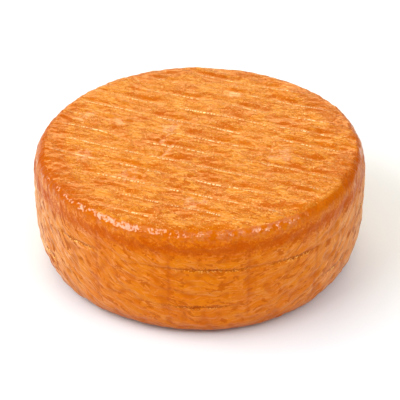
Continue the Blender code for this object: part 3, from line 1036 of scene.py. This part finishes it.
def side_colour(graph, place, x, y, z):
    """Colour of the side, and the height of its fine marks."""
    sheen_haze = graph.field("sheen_haze")
    speck = graph.centred(place, SIDE_SPECK_NOISE)
    waver = graph.product(graph.centred(place, LINE_WAVER_NOISE), LINE_WAVER)
    level = graph.total(graph.field("sweep_level"), waver)
    sweep = sweep_place(graph, x, y, level, SIDE_CLOUD_SIZE)
    cloud = graph.noise(sweep, *SIDE_CLOUD_NOISE)
    # Painted shade: paler on the relief's crests and deeper in its hollows
    relief_shade = graph.product(graph.field("relief_shade"), SIDE_CLOUD_RELIEF_SHADE)
    cloud = graph.total(cloud, relief_shade, graph.product(speck, SIDE_CLOUD_SPECK))
    colour = graph.mix(graph.step(*SIDE_CLOUD_BREAK, cloud), SIDE_ORANGE, SIDE_AMBER)
    # Painted sheen: peach towards the left and right ends
    colour = graph.mix(graph.product(sheen_haze, SHEEN_HAZE_SHARE), colour, SIDE_SHEEN_PEACH)
    # Painted highlights: pale lines along the side's sweep
    colour = graph.mix(line_share(graph, x, y, level, sheen_haze, sweep), colour, FAN_HIGHLIGHT_CREAM)
    # Painted shade: the pits darker, golden-brown where the sheen is painted
    pit_shade_tint = graph.mix(graph.step(*GOLD_PIT_HAZE, sheen_haze), DIMPLE_ORANGE, PIT_SHADE_GOLD)
    colour = graph.mix(pit_share(graph, x, y, level, sheen_haze, speck), colour, pit_shade_tint)

    # Painted shade: a deeper band under the rim
    band = graph.total(graph.math("SUBTRACT", z, UNDER_RIM_HEIGHT), graph.product(speck, UNDER_RIM_RAGGED))
    colour = graph.mix(graph.product(graph.bell(band, UNDER_RIM_WIDTH), UNDER_RIM_SHARE), colour, UNDER_RIM_SHADE)
    # Painted shade: darker towards the bottom
    foot = graph.bell(graph.total(z, graph.product(speck, FOOT_RAGGED)), FOOT_HEIGHT)
    colour = graph.mix(graph.product(foot, FOOT_SHARE), colour, FOOT_ORANGE)
    seam = graph.field("seam")
    colour = graph.mix(graph.product(seam, seam, SEAM_TINT_SHARE), colour, SEAM_BROWN)
    for name in ("upper", "lower"):
        colour = groove_colour(graph, place, z, sheen_haze, speck, colour, name)
    fine = graph.noise(sweep_place(graph, x, y, level, SIDE_FINE_SIZE), *EVEN_NOISE)
    return colour, graph.product(fine, graph.field("fan"), SIDE_FINE_HEIGHT)


def base_colour(graph, place, side_tint, top_tint):
    """The side's colour, turning on the base to a deeper shade of the top's, with the mat's faint lines."""
    offset = mat_offset(graph)[1]
    broken = graph.step(*BASE_LINE_BREAK, graph.noise(place, *BASE_LINE_NOISE))
    line = graph.product(graph.bell(offset, BEAD_WIDTH), broken, BASE_LINE_SHARE)
    mottled = graph.mix(line, graph.mix(BASE_DEPTH, top_tint, FOOT_ORANGE), PALE_PEACH)
    return graph.mix(graph.field("base_share"), side_tint, mottled)


def rind_material():
    graph = Graph("washed_rind")
    place = graph.tree.nodes.new("ShaderNodeTexCoord").outputs["Object"]
    x, y, z = graph.parts(place)
    cosine, sine = math.cos(MAT_ANGLE), math.sin(MAT_ANGLE)
    along = graph.total(graph.product(x, cosine), graph.product(y, sine))
    across = graph.math("SUBTRACT", graph.product(y, cosine), graph.product(x, sine))
    ragged = graph.product(graph.centred(place, EDGE_NOISE), EDGE_RAGGED)
    top = graph.step(*EDGE_BREAK, graph.total(graph.field("top_share"), ragged))
    side = graph.field("side_share")

    top_tint, matt, top_height = top_colour(graph, place, along, across, top)
    side_tint, side_height = side_colour(graph, place, x, y, z)
    colour = graph.mix(top, rim_colour(graph, place), top_tint)
    # Partly painted shade: deeper orange stretches of the rim
    deep = graph.total(graph.field("deep_rim"), graph.product(ragged, DEEP_RIM_RAGGED))
    deep = graph.product(graph.step(*DEEP_RIM_BREAK, deep), DEEP_RIM_SHARE)
    colour = graph.mix(deep, colour, DEEP_RIM_ORANGE)
    colour = graph.mix(side, colour, base_colour(graph, place, side_tint, top_tint))

    height = graph.product(graph.noise(place, *RIM_FINE_NOISE), RIM_FINE_HEIGHT)
    height = graph.mix_value(side, graph.mix_value(top, height, top_height), side_height)
    roughness = graph.mix_value(top, RIM_ROUGHNESS, graph.mix_value(matt, GLOSS_ROUGHNESS, MATT_ROUGHNESS))
    roughness = graph.mix_value(side, roughness, SIDE_ROUGHNESS)
    roughness = graph.total(roughness, graph.product(graph.noise(place, *ROUGH_NOISE), ROUGH_SHARE))
    wet = graph.product(graph.step(*WET_BREAK, graph.noise(place, *WET_NOISE)), graph.field("wet"))
    film = graph.mix_value(side, graph.mix_value(top, wet, TOP_FILM), SIDE_FILM)

    graph.feed(graph.shader.inputs["Base Color"], colour)
    graph.feed(graph.shader.inputs["Roughness"], roughness)
    graph.feed(graph.shader.inputs["Coat Weight"], film)
    graph.feed(graph.shader.inputs["Normal"], graph.bump(height))
    graph.feed(graph.shader.inputs["Coat Normal"], graph.bump(height))
    for name, value in SKIN_SETTINGS.items():
        graph.shader.inputs[name].default_value = value
    return graph.material


# Stage: floor, light and camera

def make_floor():
    corners = [(x * FLOOR_HALF, y * FLOOR_HALF, 0.0) for x, y in ((-1, -1), (1, -1), (1, 1), (-1, 1))]
    mesh = bpy.data.meshes.new("floor")
    mesh.from_pydata(corners, [], [(0, 1, 2, 3)])
    floor = bpy.data.objects.new("floor", mesh)
    bpy.context.scene.collection.objects.link(floor)
    material = bpy.data.materials.new("floor")
    material.use_nodes = True
    shader = material.node_tree.nodes["Principled BSDF"]
    shader.inputs["Base Color"].default_value = FLOOR_WHITE
    shader.inputs["Roughness"].default_value = FLOOR_ROUGHNESS
    shader.inputs["Specular IOR Level"].default_value = 0.0
    mesh.materials.append(material)


def make_world():
    """A white studio wall all round, darker overhead."""
    world = bpy.data.worlds.new("studio")
    bpy.context.scene.world = world
    world.use_nodes = True
    nodes, links = world.node_tree.nodes, world.node_tree.links
    direction = nodes.new("ShaderNodeTexCoord").outputs["Generated"]
    parts = nodes.new("ShaderNodeSeparateXYZ")
    shade = nodes.new("ShaderNodeMapRange")
    shade.interpolation_type = "SMOOTHSTEP"
    for name, value in zip(("From Min", "From Max", "To Min", "To Max"), WALL_SHADE):
        shade.inputs[name].default_value = value
    links.new(direction, parts.inputs[0])
    links.new(parts.outputs["Z"], shade.inputs["Value"])
    links.new(shade.outputs[0], nodes["Background"].inputs["Strength"])
    nodes["Background"].inputs["Color"].default_value = WALL_WHITE


def make_lights():
    for name, place, size, power, colour in LIGHTS:
        light = bpy.data.lights.new(name, "AREA")
        light.shape = "RECTANGLE"
        light.size, light.size_y = size
        light.energy = power
        light.color = colour
        lamp = bpy.data.objects.new(name, light)
        lamp.location = place
        lamp.rotation_euler = (Vector(LIGHT_AIM) - Vector(place)).to_track_quat("-Z", "Y").to_euler()
        bpy.context.scene.collection.objects.link(lamp)


def make_camera():
    data = bpy.data.cameras.new("camera")
    data.sensor_width = SENSOR_WIDTH
    data.lens = SENSOR_WIDTH * FOCAL_PIXELS / PHOTO_SIZE
    camera = bpy.data.objects.new("camera", data)
    back = CAMERA_DISTANCE * math.cos(CAMERA_ELEVATION)
    rise = CAMERA_DISTANCE * math.sin(CAMERA_ELEVATION)
    camera.location = (CAMERA_AIM[0], CAMERA_AIM[1] - back, CAMERA_AIM[2] + rise)
    camera.rotation_euler = (0.5 * math.pi - CAMERA_ELEVATION, 0.0, 0.0)
    bpy.context.scene.collection.objects.link(camera)
    bpy.context.scene.camera = camera


def main():
    skin = make_skin()
    skin.data.materials.append(rind_material())
    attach(skin, "root")
    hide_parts(NODE_NAME)
    make_floor()
    make_world()
    make_lights()
    make_camera()
    view = bpy.context.scene.view_settings
    view.view_transform = "Standard"
    view.look = "Medium High Contrast"


main()
